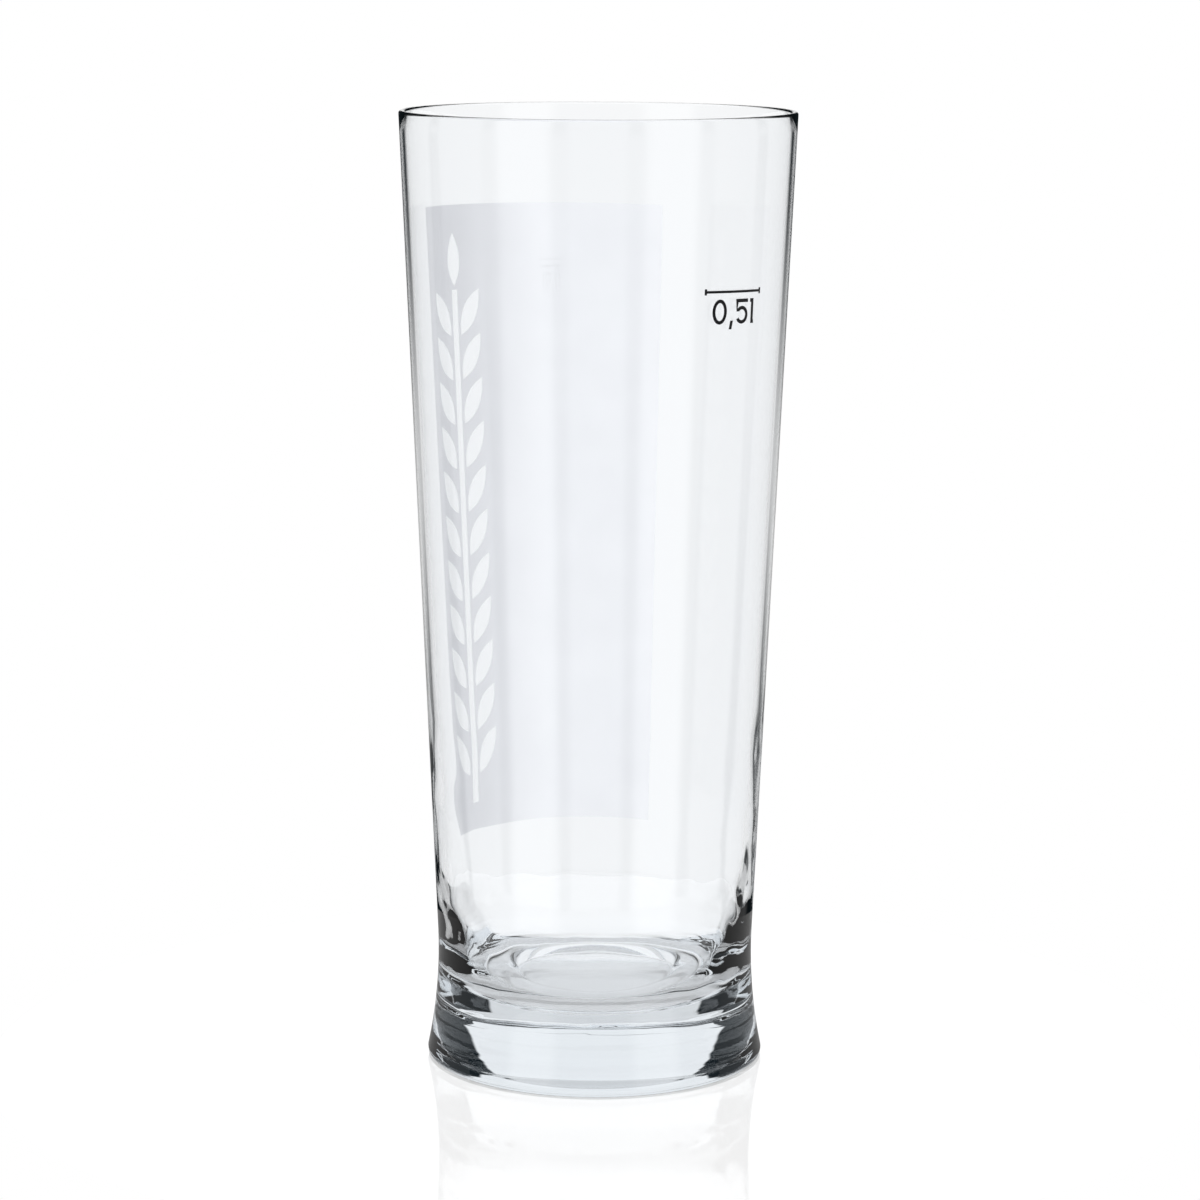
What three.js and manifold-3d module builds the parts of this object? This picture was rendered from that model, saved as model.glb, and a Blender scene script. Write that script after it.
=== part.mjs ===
// Half-litre beer tumbler: one thick-based soda-lime glass with fired enamel prints on its outer wall.
// Millimetres, +Z up, origin at the centre of the circle that the glass stands on.
// Angles round the glass run from the front (-Y) towards the right (+X).

import * as THREE from 'three';
import { mergeVertices } from 'three/addons/utils/BufferGeometryUtils.js';
import Module from 'manifold-3d';

// Outside of the glass
const TUMBLER_HEIGHT = 194.7;
const RIM_RADIUS = 40.0;
const WAIST_RADIUS = 32.4;
const WAIST_HEIGHT = 22.8;
const WAIST_BLEND = 2.0;
const FOOT_RADIUS = 34.6;
const HEEL_ROUND = 1.6;

// Inside of the glass
const RIM_WALL = 1.2;
const LOWER_WALL = 2.2;
const BOWL_HEIGHT = 26.0;
const BOWL_DROP = 14.4;
const BOWL_REACH = 6.0;
const BASE_THICKNESS = 13.2;
const FLOOR_RADIUS = 16.8;
const FLOOR_DISH = 0.3;
const SHOULDER_WIDTH = 4.4;
const SHOULDER_HEIGHT = 1.6;
const SHOULDER_CREASE = 0.6;

// Underside: a flat bearing ring round a shallow push-up
const PUNT_RADIUS = 26.0;
const PUNT_DEPTH = 0.6;

// Where the soft curves are steered, as shares of the radius or length that each runs along
const PUNT_CROWN = 0.75;
const DISH_CROWN = 0.5;
const GRAIN_BELLY = 0.45;

// Fired enamel: thickness of a print and its clearance to the glass and to the next colour
const ENAMEL_THICKNESS = 0.2;
const ENAMEL_SEAT = 0.1;
const COLOUR_GAP = 0.3;

// Printed panel on the back wall, as tall as the barley ear that it frames
const PANEL_ANGLE = 204.6;
const PANEL_SPAN = 91.0;
const PANEL_TILT = 0.9;
const PANEL_ABOVE_WAIST = 15.8;

// Barley ear printed in windows of the panel
const EAR_EDGE_MARGIN = 2.0;
const EAR_END_MARGIN = 6.0;
const STALK_WIDTH = 1.3;
const STALK_FOOT = 5.8;
const GRAIN_PAIRS = 11;
const GRAIN_LENGTH = 10.5;
const GRAIN_WIDTH = 3.6;
const GRAIN_TILT = 32.0;
const GRAIN_WEB = 0.7;

// Fill mark on the front wall: a line with end ticks over the nominal volume
const MARK_ANGLE = 44.0;
const MARK_TILT = -1.8;
const FILL_LINE_BELOW_RIM = 33.0;
const FILL_LINE_LENGTH = 15.0;
const FILL_LINE_WIDTH = 0.5;
const TICK_HEIGHT = 1.2;
const TICK_WIDTH = 0.5;
const DIGIT_HEIGHT = 4.9;
const DIGIT_STROKE = 0.7;
const ZERO_WIDTH = 3.6;
const FIVE_WIDTH = 3.5;
const FIVE_BOWL_START = -150;
const FIVE_BOWL_END = 140;
const LETTER_FOOT = 0.85;
const COMMA_DROP = 1.7;
const COMMA_SLANT = 0.35;
const LINE_TO_DIGITS = 1.2;
const DIGIT_SPACE = 0.7;

// Fineness of the round shapes
const GLASS_SIDES = 64;
const CURVE_STEPS = 6;
const PRINT_STEP_DEGREES = 4;

const wasm = await Module();
wasm.setup();

const glassMaterial = new THREE.MeshStandardMaterial({ color: '#e9eef1', roughness: 0.03, metalness: 0 });
const panelMaterial = new THREE.MeshStandardMaterial({ color: '#d6d6d8', roughness: 0.55, metalness: 0 });
const whiteMaterial = new THREE.MeshStandardMaterial({ color: '#f3f3f1', roughness: 0.4, metalness: 0 });
const blackMaterial = new THREE.MeshStandardMaterial({ color: '#141416', roughness: 0.4, metalness: 0 });

const radians = THREE.MathUtils.degToRad;

// The outer wall is a straight cone from the waist up to the rim.
const coneBottom = WAIST_HEIGHT + WAIST_BLEND;
const coneTop = TUMBLER_HEIGHT - RIM_WALL / 2;
const coneSlope = (RIM_RADIUS - WAIST_RADIUS) / (coneTop - coneBottom);
const wallRadius = (height) => WAIST_RADIUS + coneSlope * (height - coneBottom);

// Half section of the glass, from the middle of the underside round the foot, wall and rim to the floor.
function glassProfile() {
  const heelCentre = FOOT_RADIUS - HEEL_ROUND;
  const blendTop = coneBottom + WAIST_BLEND;
  const floorEdge = BASE_THICKNESS + FLOOR_DISH;
  const shoulderRadius = FLOOR_RADIUS + SHOULDER_WIDTH;
  const shoulderTop = floorEdge + SHOULDER_HEIGHT;
  const bowlTop = BASE_THICKNESS + BOWL_HEIGHT;
  const bowlRadius = wallRadius(bowlTop) - LOWER_WALL;
  const rimInside = RIM_RADIUS - RIM_WALL;
  const innerSlope = (rimInside - bowlRadius) / (coneTop - bowlTop);

  const path = new THREE.Path();
  path.moveTo(0, PUNT_DEPTH);
  path.quadraticCurveTo(PUNT_RADIUS * PUNT_CROWN, PUNT_DEPTH, PUNT_RADIUS, 0);
  path.lineTo(heelCentre, 0);
  path.absarc(heelCentre, HEEL_ROUND, HEEL_ROUND, -Math.PI / 2, 0);
  path.quadraticCurveTo(WAIST_RADIUS, (HEEL_ROUND + WAIST_HEIGHT) / 2, WAIST_RADIUS, WAIST_HEIGHT);
  path.quadraticCurveTo(WAIST_RADIUS, coneBottom, wallRadius(blendTop), blendTop);
  path.lineTo(RIM_RADIUS, coneTop);
  path.absarc(RIM_RADIUS - RIM_WALL / 2, coneTop, RIM_WALL / 2, 0, Math.PI);
  path.lineTo(bowlRadius, bowlTop);
  path.bezierCurveTo(
    bowlRadius - innerSlope * BOWL_DROP, bowlTop - BOWL_DROP,
    shoulderRadius + BOWL_REACH, shoulderTop,
    shoulderRadius, shoulderTop,
  );
  path.bezierCurveTo(
    FLOOR_RADIUS + SHOULDER_WIDTH / 2, shoulderTop,
    FLOOR_RADIUS + SHOULDER_CREASE, floorEdge + SHOULDER_CREASE,
    FLOOR_RADIUS, floorEdge,
  );
  path.quadraticCurveTo(FLOOR_RADIUS * DISH_CROWN, BASE_THICKNESS, 0, BASE_THICKNESS);
  return path.getPoints(CURVE_STEPS);
}

function glassGeometry() {
  const geometry = new THREE.LatheGeometry(glassProfile(), GLASS_SIDES);
  return geometry.rotateX(Math.PI / 2);
}

// Each print is laid on the wall as a whole, a little off level about its middle.
const PANEL_PRINT = { middle: radians(PANEL_ANGLE), rise: Math.tan(radians(PANEL_TILT)) };
const MARK_PRINT = { middle: radians(MARK_ANGLE), rise: Math.tan(radians(MARK_TILT)) };

// Lays a flat extruded shape on the outer wall: x runs along the girth from the given angle, y is the
// height and z the depth of the print.
function wrapOnWall(geometry, angle, print) {
  const position = geometry.attributes.position;
  for (let i = 0; i < position.count; i += 1) {
    const level = position.getY(i);
    const turn = radians(angle) + position.getX(i) / wallRadius(level);
    const height = level + print.rise * (turn - print.middle) * wallRadius(level);
    const seat = wallRadius(height) + ENAMEL_SEAT;
    const radius = seat + position.getZ(i);
    position.setXYZ(i, radius * Math.sin(turn), -radius * Math.cos(turn), height);
  }
  geometry.computeVertexNormals();
  return geometry;
}

function printShape(shape, angle, print) {
  const flat = new THREE.ExtrudeGeometry(shape, {
    depth: ENAMEL_THICKNESS, bevelEnabled: false, curveSegments: CURVE_STEPS,
  });
  return wrapOnWall(flat, angle, print);
}

// A block split along its width, finely enough to follow the girth once it is wrapped on the wall.
function printBar(left, right, low, high, angle, print) {
  const width = right - left;
  const step = radians(PRINT_STEP_DEGREES) * wallRadius(low);
  const columns = Math.max(1, Math.ceil(width / step));
  const bar = new THREE.BoxGeometry(width, high - low, ENAMEL_THICKNESS, columns, 1, 1);
  bar.translate((left + right) / 2, (low + high) / 2, ENAMEL_THICKNESS / 2);
  return wrapOnWall(bar, angle, print);
}

function toSolid(geometry) {
  const bare = geometry.clone();
  bare.deleteAttribute('normal');
  bare.deleteAttribute('uv');
  const merged = mergeVertices(bare);
  const vertProperties = new Float32Array(merged.attributes.position.array);
  const triVerts = new Uint32Array(merged.index.array);
  return new wasm.Manifold(new wasm.Mesh({ numProp: 3, vertProperties, triVerts }));
}

function toGeometry(solid) {
  const mesh = solid.getMesh();
  const geometry = new THREE.BufferGeometry();
  geometry.setAttribute('position', new THREE.BufferAttribute(mesh.vertProperties, 3));
  geometry.setIndex(new THREE.BufferAttribute(mesh.triVerts, 1));
  geometry.computeVertexNormals();
  return geometry;
}

function cut(geometry, tools) {
  let solid = toSolid(geometry);
  for (const tool of tools) {
    solid = solid.subtract(toSolid(tool));
  }
  return toGeometry(solid);
}

function join(geometries) {
  const [first, ...others] = geometries.map(toSolid);
  return toGeometry(others.reduce((whole, solid) => whole.add(solid), first));
}

const tumbler = new THREE.Group();

function addPiece(name, geometry, material) {
  const mesh = new THREE.Mesh(geometry, material);
  mesh.name = name;
  tumbler.add(mesh);
}

// Panel and barley ear
const panelBottom = coneBottom + WAIST_BLEND + PANEL_ABOVE_WAIST;
const tilt = radians(GRAIN_TILT);
const stalkWindow = STALK_WIDTH / 2 + COLOUR_GAP;
const grainRoot = stalkWindow + GRAIN_WEB + COLOUR_GAP;
const grainPitch = (GRAIN_WIDTH + 2 * COLOUR_GAP + GRAIN_WEB) / Math.sin(tilt);
const earHalfWidth = grainRoot + GRAIN_LENGTH * Math.sin(tilt);
const earAngle = PANEL_ANGLE + PANEL_SPAN / 2
  - THREE.MathUtils.radToDeg((earHalfWidth + EAR_EDGE_MARGIN) / wallRadius(panelBottom));
const earBottom = panelBottom + EAR_END_MARGIN;
const firstRoot = earBottom + STALK_FOOT;
const stalkTop = firstRoot + (GRAIN_PAIRS - 1) * grainPitch + GRAIN_LENGTH * Math.cos(tilt);
const tipRoot = stalkTop + 2 * COLOUR_GAP + GRAIN_WEB;
const panelTop = tipRoot + GRAIN_LENGTH + EAR_END_MARGIN;

// A grain is a leaf outline, pointed at both ends, grown by `margin` all round for its window.
function grainShape(rootX, rootY, lean, margin) {
  const length = GRAIN_LENGTH + 2 * margin;
  const bulge = GRAIN_WIDTH + 2 * margin;
  const along = new THREE.Vector2(Math.sin(lean), Math.cos(lean));
  const across = new THREE.Vector2(along.y, -along.x);
  const start = new THREE.Vector2(rootX, rootY).addScaledVector(along, -margin);
  const tip = start.clone().addScaledVector(along, length);
  const middle = start.clone().addScaledVector(along, length * GRAIN_BELLY);
  const right = middle.clone().addScaledVector(across, bulge);
  const left = middle.clone().addScaledVector(across, -bulge);
  const shape = new THREE.Shape();
  shape.moveTo(start.x, start.y);
  shape.quadraticCurveTo(right.x, right.y, tip.x, tip.y);
  shape.quadraticCurveTo(left.x, left.y, start.x, start.y);
  return shape;
}

function barShape(left, right, low, high) {
  const shape = new THREE.Shape();
  shape.moveTo(left, low);
  shape.lineTo(right, low);
  shape.lineTo(right, high);
  shape.lineTo(left, high);
  shape.closePath();
  return shape;
}

const earPieces = [];
for (let pair = 0; pair < GRAIN_PAIRS; pair += 1) {
  const root = firstRoot + pair * grainPitch;
  earPieces.push({
    name: `barley_grain_left_${pair + 1}`,
    outline: (margin) => grainShape(-grainRoot, root, -tilt, margin),
  });
  earPieces.push({
    name: `barley_grain_right_${pair + 1}`,
    outline: (margin) => grainShape(grainRoot, root, tilt, margin),
  });
}
earPieces.push({
  name: 'barley_grain_tip',
  outline: (margin) => grainShape(0, tipRoot, 0, margin),
});
earPieces.push({
  name: 'barley_stalk',
  outline: (margin) => barShape(
    -STALK_WIDTH / 2 - margin, STALK_WIDTH / 2 + margin, earBottom - margin, stalkTop + margin,
  ),
});

// A sector of the cone with straight edges that run up the wall.
function panelGeometry() {
  const columns = Math.ceil(PANEL_SPAN / PRINT_STEP_DEGREES);
  const panel = new THREE.BoxGeometry(1, panelTop - panelBottom, ENAMEL_THICKNESS, columns, 1, 1);
  panel.translate(0, (panelTop + panelBottom) / 2, ENAMEL_THICKNESS / 2);
  const position = panel.attributes.position;
  for (let i = 0; i < position.count; i += 1) {
    const girth = radians(PANEL_SPAN) * wallRadius(position.getY(i));
    position.setX(i, position.getX(i) * girth);
  }
  return wrapOnWall(panel, PANEL_ANGLE, PANEL_PRINT);
}

// Windows go right through the panel, so they start below its seat and end above its face.
function windowGeometry(outline) {
  const tool = new THREE.ExtrudeGeometry(outline(COLOUR_GAP), {
    depth: 3 * ENAMEL_THICKNESS, bevelEnabled: false, curveSegments: CURVE_STEPS,
  });
  tool.translate(0, 0, -ENAMEL_THICKNESS);
  return wrapOnWall(tool, earAngle, PANEL_PRINT);
}

// Fill mark
const lineHeight = coneTop - FILL_LINE_BELOW_RIM;
const digitTop = lineHeight - FILL_LINE_WIDTH / 2 - LINE_TO_DIGITS;
const digitBottom = digitTop - DIGIT_HEIGHT;

function fillLineGeometry() {
  const end = FILL_LINE_LENGTH / 2;
  const halfWidth = FILL_LINE_WIDTH / 2;
  const halfTick = TICK_HEIGHT / 2;
  const mark = (left, right, low, high) => printBar(left, right, low, high, MARK_ANGLE, MARK_PRINT);
  const line = mark(-end, end, lineHeight - halfWidth, lineHeight + halfWidth);
  const halfTickWidth = TICK_WIDTH / 2;
  const tickLow = lineHeight - halfTick;
  const tickHigh = lineHeight + halfTick;
  const ticks = [-end, end].map(
    (middle) => mark(middle - halfTickWidth, middle + halfTickWidth, tickLow, tickHigh),
  );
  return join([line, ...ticks]);
}

function zeroShape(left) {
  const halfWidth = ZERO_WIDTH / 2;
  const halfHeight = DIGIT_HEIGHT / 2;
  const middle = digitBottom + halfHeight;
  const centre = left + halfWidth;
  const round = 2 * Math.PI;
  const shape = new THREE.Shape();
  shape.absellipse(centre, middle, halfWidth, halfHeight, 0, round);
  const counter = new THREE.Path();
  counter.absellipse(centre, middle, halfWidth - DIGIT_STROKE, halfHeight - DIGIT_STROKE, 0, round);
  shape.holes.push(counter);
  return shape;
}

// A short slanted stroke that starts on the base line.
function commaShape(left) {
  const top = digitBottom + DIGIT_STROKE;
  const low = top - COMMA_DROP;
  const shape = new THREE.Shape();
  shape.moveTo(left, low);
  shape.lineTo(left + DIGIT_STROKE, low);
  shape.lineTo(left + COMMA_SLANT + DIGIT_STROKE, top);
  shape.lineTo(left + COMMA_SLANT, top);
  shape.closePath();
  return shape;
}

// A five as one stroke: top bar, neck and an open bowl.
function fiveShape(left) {
  const bowl = FIVE_WIDTH / 2;
  const centreX = left + FIVE_WIDTH / 2;
  const centreY = digitBottom + bowl;
  const inner = bowl - DIGIT_STROKE;
  const start = radians(FIVE_BOWL_START);
  const end = radians(FIVE_BOWL_END);
  const shape = new THREE.Shape();
  shape.absarc(centreX, centreY, bowl, start, end, false);
  shape.lineTo(left + DIGIT_STROKE, digitTop - DIGIT_STROKE);
  shape.lineTo(left + FIVE_WIDTH, digitTop - DIGIT_STROKE);
  shape.lineTo(left + FIVE_WIDTH, digitTop);
  shape.lineTo(left, digitTop);
  shape.lineTo(centreX + inner * Math.cos(end) - DIGIT_STROKE, centreY + inner * Math.sin(end));
  shape.absarc(centreX, centreY, inner, end, start, true);
  shape.closePath();
  return shape;
}

// A slim l with a hook at its top and a foot to the right.
function letterShape(left) {
  const stem = left + DIGIT_STROKE / 2;
  const stemRight = stem + DIGIT_STROKE;
  const foot = stem + LETTER_FOOT;
  const shape = new THREE.Shape();
  shape.moveTo(left, digitTop - DIGIT_STROKE);
  shape.lineTo(stem, digitTop - DIGIT_STROKE);
  shape.lineTo(stem, digitBottom);
  shape.lineTo(foot, digitBottom);
  shape.lineTo(foot, digitBottom + DIGIT_STROKE);
  shape.lineTo(stemRight, digitBottom + DIGIT_STROKE);
  shape.lineTo(stemRight, digitTop);
  shape.lineTo(left, digitTop);
  shape.closePath();
  return shape;
}

addPiece('glass_body', glassGeometry(), glassMaterial);

const earWindows = earPieces.map((piece) => windowGeometry(piece.outline));
addPiece('print_panel', cut(panelGeometry(), earWindows), panelMaterial);
for (const piece of earPieces) {
  addPiece(piece.name, printShape(piece.outline(0), earAngle, PANEL_PRINT), whiteMaterial);
}
addPiece('fill_line', fillLineGeometry(), blackMaterial);

const commaWidth = COMMA_SLANT + DIGIT_STROKE;
const letterWidth = DIGIT_STROKE / 2 + LETTER_FOOT;
const textWidth = ZERO_WIDTH + commaWidth + FIVE_WIDTH + letterWidth + 3 * DIGIT_SPACE;
const zeroLeft = -textWidth / 2;
const commaLeft = zeroLeft + ZERO_WIDTH + DIGIT_SPACE;
const fiveLeft = commaLeft + commaWidth + DIGIT_SPACE;
const letterLeft = fiveLeft + FIVE_WIDTH + DIGIT_SPACE;
addPiece('capacity_zero', printShape(zeroShape(zeroLeft), MARK_ANGLE, MARK_PRINT), blackMaterial);
addPiece('capacity_comma', printShape(commaShape(commaLeft), MARK_ANGLE, MARK_PRINT), blackMaterial);
addPiece('capacity_five', printShape(fiveShape(fiveLeft), MARK_ANGLE, MARK_PRINT), blackMaterial);
addPiece('capacity_litre', printShape(letterShape(letterLeft), MARK_ANGLE, MARK_PRINT), blackMaterial);

export default tumbler;
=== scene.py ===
"""Looks of a half-litre beer tumbler: clear blown glass with fired prints, on a white table.

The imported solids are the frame. The glass and its prints are modelled again here as smooth, fine meshes in
the places of their solids, and get the materials of the real thing.
"""

import logging
import math
from collections.abc import Callable
from dataclasses import dataclass
from enum import Enum

import bmesh
import bpy
from mathutils import Matrix, Vector, noise


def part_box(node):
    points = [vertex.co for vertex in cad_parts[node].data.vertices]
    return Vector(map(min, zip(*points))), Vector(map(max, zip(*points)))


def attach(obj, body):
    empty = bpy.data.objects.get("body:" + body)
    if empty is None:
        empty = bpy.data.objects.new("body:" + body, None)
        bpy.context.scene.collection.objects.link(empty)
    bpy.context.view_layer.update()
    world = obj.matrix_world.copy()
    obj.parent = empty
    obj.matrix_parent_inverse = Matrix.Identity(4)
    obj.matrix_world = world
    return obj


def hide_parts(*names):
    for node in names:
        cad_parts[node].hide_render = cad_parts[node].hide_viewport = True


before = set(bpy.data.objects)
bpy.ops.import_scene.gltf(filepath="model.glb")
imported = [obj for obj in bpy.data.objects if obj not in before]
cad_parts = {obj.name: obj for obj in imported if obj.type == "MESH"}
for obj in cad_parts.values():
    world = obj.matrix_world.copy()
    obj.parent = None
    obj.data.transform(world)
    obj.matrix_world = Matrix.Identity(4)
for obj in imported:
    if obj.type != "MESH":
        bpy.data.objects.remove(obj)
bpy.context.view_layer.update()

LOG = logging.getLogger("tumbler")

MM = 0.001
QUARTER_TURN = 90.0
HALF_TURN = 180.0
FULL_TURN = 360.0
WHITE = (1.0, 1.0, 1.0, 1.0)

# The numbered sockets of a Mix node: two values, or two colours and the colour that it gives.
VALUE_A, VALUE_B = 2, 3
COLOUR_A, COLOUR_B, COLOUR_OUT = 6, 7, 2

# Ray depths are whole numbers, so these halves tell none from one, and two from three.
NONE_OR_ONE = 0.5
TWO_OR_THREE = 2.5

Point = tuple[float, float]
Outline = list[Point]
Inputs = dict[str | int, object]


class Slot(Enum):
    """The record's material slots."""

    GLASS = "clear_glass"
    GREY = "grey_enamel"
    WHITE = "white_enamel"
    BLACK = "black_enamel"


def linear(hex_colour: str) -> tuple[float, float, float, float]:
    """Turns an sRGB hex colour into linear light.

    Args:
        hex_colour: A colour such as "#d6d6d8".

    Returns:
        Linear red, green and blue, and an alpha of 1.
    """
    channels = [int(hex_colour[i : i + 2], 16) / 255 for i in (1, 3, 5)]
    light = [c / 12.92 if c <= 0.04045 else ((c + 0.055) / 1.055) ** 2.4 for c in channels]
    return (light[0], light[1], light[2], 1.0)


def add_node(
    tree: bpy.types.NodeTree, kind: str, inputs: Inputs | None = None, **settings: object
) -> bpy.types.Node:
    """Adds a node with its settings, values and links.

    Args:
        tree: The node tree that gets the node.
        kind: The node's type name.
        inputs: For each input, by name or number, a value, an output socket, or a node for its first output.
        settings: Properties of the node itself.

    Returns:
        The new node.
    """
    node = tree.nodes.new(kind)
    for name, value in settings.items():
        setattr(node, name, value)
    for name, value in (inputs or {}).items():
        source = value.outputs[0] if isinstance(value, bpy.types.Node) else value
        if isinstance(source, bpy.types.NodeSocket):
            tree.links.new(source, node.inputs[name])
        else:
            node.inputs[name].default_value = source
    return node


def new_material(name: str) -> tuple[bpy.types.Material, bpy.types.NodeTree]:
    """Makes an empty node material.

    Args:
        name: The material's name.

    Returns:
        The material and its node tree.
    """
    material = bpy.data.materials.new(name)
    material.use_nodes = True
    material.node_tree.nodes.clear()
    return material, material.node_tree


def per_metre(feature_mm: float) -> float:
    """The scale of a noise pattern whose features are this many millimetres across."""
    return 1 / (feature_mm * MM)


@dataclass(frozen=True)
class SodaLimeGlass:
    """Soda-lime glass, machine blown and fire-polished."""

    name: str = "soda_lime_glass"
    tint: str = "#fcfdfe"
    thick_tint: str = "#bfd3e2"
    roughness: float = 0.0
    ior: float = 1.52
    transmission: float = 1.0
    absorption: float = 5.0

    def material(self) -> bpy.types.Material:
        """Builds the glass as a smooth surface round a volume that cools the light.

        Returns:
            The new material.
        """
        # The fire leaves the skin without any grain: clear, with sharp mirror images and dark edges. A long
        # way through the thick base turns the light faintly cool.
        material, tree = new_material(self.name)
        skin = add_node(
            tree,
            "ShaderNodeBsdfPrincipled",
            {
                "Base Color": linear(self.tint),
                "Roughness": self.roughness,
                "IOR": self.ior,
                "Transmission Weight": self.transmission,
            },
        )
        depth = add_node(
            tree,
            "ShaderNodeVolumeAbsorption",
            {"Color": linear(self.thick_tint), "Density": self.absorption},
        )
        add_node(tree, "ShaderNodeOutputMaterial", {"Surface": skin, "Volume": depth})
        return material


@dataclass(frozen=True)
class FiredEnamel:
    """Screen-printed glass enamel, fired on: a thin satin layer, uneven in density, that lets light by.

    A print's colour runs from greyer at its left to paler at its right: painted shade.
    """

    name: str
    colour: str
    # The second colour shows where the density is thin, and at the paler end of the painted shade.
    lit_and_thin_colour: str
    translucency: float
    # The painted shade runs between these two sideways places: greyer before the first, paler after the
    # second.
    painted_shade_from_mm: float = -38.0
    painted_shade_to_mm: float = -8.0
    shine: float = 0.5
    roughness: float = 0.42
    ior: float = 1.5
    cloud_mm: float = 9.0
    cloud_detail: float = 4.0
    cloud_share: float = 0.25
    # The mesh of a printing screen is about 0.1 mm. Its grain is drawn coarser, so that it shows.
    screen_mm: float = 0.35
    screen_detail: float = 2.0
    screen_height_mm: float = 0.01

    def material(self) -> bpy.types.Material:
        """Builds the enamel: a painted shade from left to right with cloudy density, the grain of the screen,
        and light from behind.

        Returns:
            The new material.
        """
        material, tree = new_material(self.name)
        place = add_node(tree, "ShaderNodeTexCoord").outputs["Object"]
        across = add_node(tree, "ShaderNodeSeparateXYZ", {0: place}).outputs["X"]
        cloud = add_node(
            tree,
            "ShaderNodeTexNoise",
            {"Vector": place, "Scale": per_metre(self.cloud_mm), "Detail": self.cloud_detail},
        )
        screen = add_node(
            tree,
            "ShaderNodeTexNoise",
            {"Vector": place, "Scale": per_metre(self.screen_mm), "Detail": self.screen_detail},
        )
        # Painted shade: the colour runs from greyer at the left to paler at the right.
        fade = add_node(
            tree,
            "ShaderNodeMapRange",
            {"Value": across, "From Min": self.painted_shade_from_mm * MM, "From Max": self.painted_shade_to_mm * MM},
            interpolation_type="SMOOTHSTEP",
        )
        # The share of the paler colour: mostly the painted shade, partly cloudy density.
        thin = add_node(tree, "ShaderNodeMix", {"Factor": self.cloud_share, VALUE_A: fade, VALUE_B: cloud})
        blend = add_node(
            tree,
            "ShaderNodeMix",
            {"Factor": thin, COLOUR_A: linear(self.colour), COLOUR_B: linear(self.lit_and_thin_colour)},
            data_type="RGBA",
        )
        colour = blend.outputs[COLOUR_OUT]
        grain = add_node(
            tree, "ShaderNodeBump", {"Height": screen, "Distance": self.screen_height_mm * MM}
        )
        layer = add_node(
            tree,
            "ShaderNodeBsdfPrincipled",
            {
                "Base Color": colour,
                "Normal": grain,
                "Roughness": self.roughness,
                "IOR": self.ior,
                "Specular IOR Level": self.shine,
            },
        )
        glow = add_node(tree, "ShaderNodeBsdfTranslucent", {"Color": colour})
        both = add_node(tree, "ShaderNodeMixShader", {0: self.translucency, 1: layer, 2: glow})
        add_node(tree, "ShaderNodeOutputMaterial", {"Surface": both})
        return material


# A pale silvery film, greyest at its left by painted shade, through which the white behind it glows.
GREY_ENAMEL = FiredEnamel("grey_fired_enamel", "#e8e8ea", "#fdfdfe", 0.86)
# A milky white that is a little brighter than the film round it.
WHITE_ENAMEL = FiredEnamel("white_fired_enamel", "#fdfdfd", "#fefefe", 0.86)
# A dense satin black that lets nothing by.
BLACK_ENAMEL = FiredEnamel("black_fired_enamel", "#0b0b0d", "#131316", 0.0, shine=0.1)


def line(start: Point, end: Point, steps: int) -> Outline:
    """Points on a straight line, without its start."""
    spans = [i / steps for i in range(1, steps + 1)]
    return [(start[0] + (end[0] - start[0]) * t, start[1] + (end[1] - start[1]) * t) for t in spans]


def bezier(points: list[Point], steps: int) -> Outline:
    """Points on a Bezier curve of any degree, without its start.

    Args:
        points: The start, the control points and the end.
        steps: How many points to give.

    Returns:
        The points after the start.
    """
    curve = []
    for i in range(1, steps + 1):
        t = i / steps
        level = [Vector(p) for p in points]
        while len(level) > 1:
            level = [a.lerp(b, t) for a, b in zip(level, level[1:])]
        curve.append((level[0].x, level[0].y))
    return curve


def ellipse(centre: Point, radii: Point, start: float, end: float, steps: int) -> Outline:
    """Points on an elliptic arc, with both ends.

    Args:
        centre: Middle of the ellipse.
        radii: Half width and half height.
        start: First angle in degrees.
        end: Last angle in degrees.
        steps: How many spans the arc has.

    Returns:
        The points of the arc.
    """
    turns = [math.radians(start + (end - start) * i / steps) for i in range(steps + 1)]
    return [(centre[0] + radii[0] * math.cos(t), centre[1] + radii[1] * math.sin(t)) for t in turns]


def finish_mesh(bm: bmesh.types.BMesh, name: str, material: bpy.types.Material) -> bpy.types.Object:
    """Turns a bmesh into a smooth object in the scene.

    Args:
        bm: The mesh, in metres. It is freed here.
        name: The object's name.
        material: Its only material.

    Returns:
        The new object.
    """
    bmesh.ops.recalc_face_normals(bm, faces=bm.faces[:])
    for face in bm.faces:
        face.smooth = True
    mesh = bpy.data.meshes.new(name)
    bm.to_mesh(mesh)
    bm.free()
    mesh.materials.append(material)
    piece = bpy.data.objects.new(name, mesh)
    bpy.context.scene.collection.objects.link(piece)
    return piece


def settle(piece: bpy.types.Object, slot: Slot, *nodes: str) -> None:
    """Puts a finished piece in the place of its CAD nodes.

    Args:
        piece: The piece, already where it belongs.
        slot: The material slot of the piece; not used.
        nodes: The CAD nodes that it stands for.
    """
    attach(piece, "root")
    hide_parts(*nodes)
    LOG.info("%s stands for %s", piece.name, ", ".join(nodes))


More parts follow.
